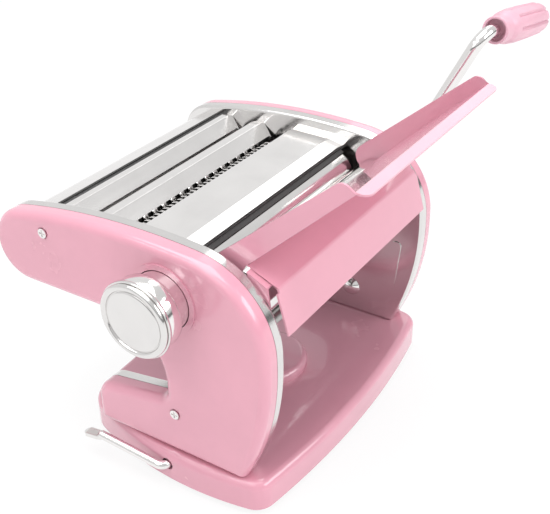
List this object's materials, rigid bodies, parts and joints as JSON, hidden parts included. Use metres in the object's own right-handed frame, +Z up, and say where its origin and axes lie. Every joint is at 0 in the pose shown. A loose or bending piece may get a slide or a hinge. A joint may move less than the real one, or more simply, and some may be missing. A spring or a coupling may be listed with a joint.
{
  "type": "pasta machine",
  "caption": "Hand cranked pasta machine: sheet rollers with a thickness knob, noodle cutters, a folded dough tray and a suction base.",
  "frame": {"origin": "on the table, in the middle of the suction base's underside", "axes": "+X along the rollers towards the crank, -Y towards the dough tray, +Z up"},
  "size_m": [0.3218, 0.2228, 0.2207],
  "materials": {
    "pink_enamel": "gloss",
    "pink_plastic": "gloss",
    "polished_steel": "polished",
    "brushed_steel": "satin",
    "plain_steel": "plain",
    "black_plastic": "matte",
    "rubber": "matte"
  },
  "bodies": {
    "frame": {"base_shell": "pink_enamel", "base_plate": "plain_steel", "base_bosses": "plain_steel", "base_screws": "plain_steel", "base_feet": "rubber", "foot_screws": "plain_steel", "foot_nuts": "plain_steel", "shaft_brackets": "plain_steel", "lever_bush": "black_plastic", "side_plate_right": "polished_steel", "side_plate_left": "polished_steel", "side_cover_right": "pink_enamel", "side_cover_left": "pink_enamel", "cover_spacers": "plain_steel", "cover_screws": "polished_steel", "tie_rods": "plain_steel", "tie_rod_nuts": "plain_steel", "plate_studs": "polished_steel", "front_roller_bushes": "black_plastic", "cutter_bushes": "black_plastic", "roller_scrapers": "black_plastic", "cutter_strippers": "black_plastic", "rear_cover": "brushed_steel", "rear_strip": "brushed_steel", "middle_strip": "brushed_steel", "centre_cover": "brushed_steel", "tray_carrier": "pink_enamel", "carrier_rivets": "plain_steel", "index_ring": "plain_steel"},
    "front_roller": {"front_roller": "polished_steel", "front_roller_gear": "plain_steel"},
    "gap_carriage": {"gap_blocks": "black_plastic"},
    "rear_roller": {"rear_roller": "polished_steel", "rear_roller_gear": "plain_steel"},
    "adjuster": {"adjust_shaft": "plain_steel"},
    "knob": {"knob_shell": "polished_steel", "knob_ring": "polished_steel", "knob_cap": "brushed_steel", "knob_spring": "plain_steel", "index_pin": "plain_steel"},
    "wide_front": {"wide_cutter_front": "plain_steel", "wide_cutter_front_gear": "plain_steel"},
    "wide_rear": {"wide_cutter_rear": "plain_steel", "wide_cutter_rear_gear": "plain_steel"},
    "narrow_front": {"narrow_cutter_front": "plain_steel", "narrow_cutter_front_gear": "plain_steel"},
    "narrow_rear": {"narrow_cutter_rear": "plain_steel", "narrow_cutter_rear_gear": "plain_steel"},
    "crank": {"crank_rod": "polished_steel", "grip_rivet": "plain_steel"},
    "grip": {"crank_grip": "pink_plastic"},
    "lever": {"cam_shaft": "polished_steel", "suction_lever": "polished_steel"},
    "suction": {"suction_stem": "plain_steel", "suction_pad": "rubber"},
    "tray": {"dough_tray": "pink_enamel"}
  },
  "joints": [
    {"name": "front_roller_turn", "type": "hinge", "parent": "frame", "child": "front_roller", "pos_m": [0, -0.0425, 0.1245], "axis": [1, 0, 0], "continuous": true},
    {"name": "gap_slide", "type": "slide", "parent": "frame", "child": "gap_carriage", "axis": [0, 1, 0], "range_m": [0, 0.003]},
    {"name": "rear_roller_turn", "type": "hinge", "parent": "gap_carriage", "child": "rear_roller", "pos_m": [0, -0.0105, 0.1245], "axis": [1, 0, 0], "continuous": true},
    {"name": "knob_turn", "type": "hinge", "parent": "frame", "child": "adjuster", "pos_m": [0, -0.0105, 0.1245], "axis": [-1, 0, 0], "range_deg": [0, 300]},
    {"name": "knob_pull", "type": "slide", "parent": "adjuster", "child": "knob", "axis": [-1, 0, 0], "range_m": [0, 0.004], "stiffness_N_per_m": 400, "springref_m": -0.002},
    {"name": "wide_cutter_turn", "type": "hinge", "parent": "frame", "child": "wide_front", "pos_m": [0, 0.0488, 0.129], "axis": [1, 0, 0], "continuous": true},
    {"name": "wide_cutter_rear_turn", "type": "hinge", "parent": "frame", "child": "wide_rear", "pos_m": [0, 0.0612, 0.129], "axis": [1, 0, 0], "continuous": true},
    {"name": "narrow_cutter_turn", "type": "hinge", "parent": "frame", "child": "narrow_front", "pos_m": [0, 0.0218, 0.129], "axis": [1, 0, 0], "continuous": true},
    {"name": "narrow_cutter_rear_turn", "type": "hinge", "parent": "frame", "child": "narrow_rear", "pos_m": [0, 0.0342, 0.129], "axis": [1, 0, 0], "continuous": true},
    {"name": "crank_slide", "type": "slide", "parent": "front_roller", "child": "crank", "axis": [1, 0, 0], "range_m": [0, 0.03]},
    {"name": "grip_spin", "type": "hinge", "parent": "crank", "child": "grip", "pos_m": [0.11503, -0.08671, 0.21475], "axis": [0.9896, -0.0504, -0.1347], "continuous": true},
    {"name": "lever_turn", "type": "hinge", "parent": "frame", "child": "lever", "pos_m": [0, -0.006, 0.0142], "axis": [1, 0, 0], "range_deg": [0, 160]},
    {"name": "suction_lift", "type": "slide", "parent": "frame", "child": "suction", "axis": [0, 0, 1], "range_m": [0, 0.0035]},
    {"name": "tray_lift", "type": "slide", "parent": "frame", "child": "tray", "axis": [0, 0, 1], "range_m": [0, 0.04]}
  ],
  "couplings": [
    {"joint": "rear_roller_turn", "follows": "front_roller_turn", "ratio": -1},
    {"joint": "wide_cutter_rear_turn", "follows": "wide_cutter_turn", "ratio": -1},
    {"joint": "narrow_cutter_rear_turn", "follows": "narrow_cutter_turn", "ratio": -1},
    {"joint": "knob_turn", "follows": "gap_slide", "rad_per_m": 1745},
    {"joint": "lever_turn", "follows": "suction_lift", "rad_per_m": 797.7}
  ]
}
